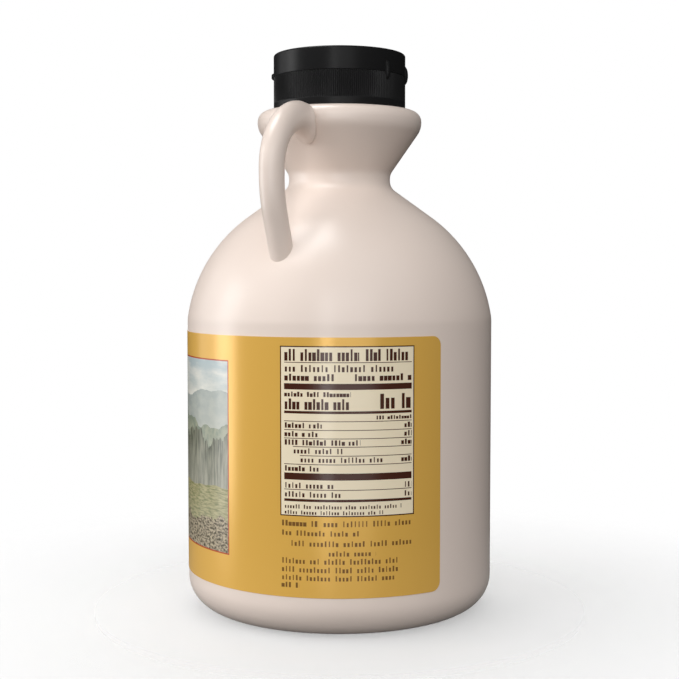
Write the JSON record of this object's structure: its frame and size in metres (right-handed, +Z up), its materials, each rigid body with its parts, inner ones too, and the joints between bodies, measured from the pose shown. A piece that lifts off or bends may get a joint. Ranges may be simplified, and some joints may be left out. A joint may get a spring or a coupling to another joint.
{
  "type": "maple syrup jug",
  "caption": "Round opaque plastic syrup jug with a domed shoulder, flared collar, small ring handle, black ribbed flip-top closure and a wrap-round label, full and shut.",
  "frame": {"origin": "centre of the base, on the surface that the jug stands on", "axes": "+Z up along the jug's axis, -Y out of the front of the label, +X towards the handle, +Y towards the closure's hinge"},
  "size_m": [0.1033, 0.1026, 0.1842],
  "materials": {
    "jug_plastic": "beige blow-moulded plastic with a soft satin sheen",
    "closure_plastic": "black moulded plastic, satin",
    "label_film": "printed film label, gold field with a cream panel, satin"
  },
  "bodies": {
    "root": {"jug": "jug_plastic", "closure_skirt": "closure_plastic", "closure_lid": "closure_plastic", "label": "label_film"}
  },
  "joints": []
}
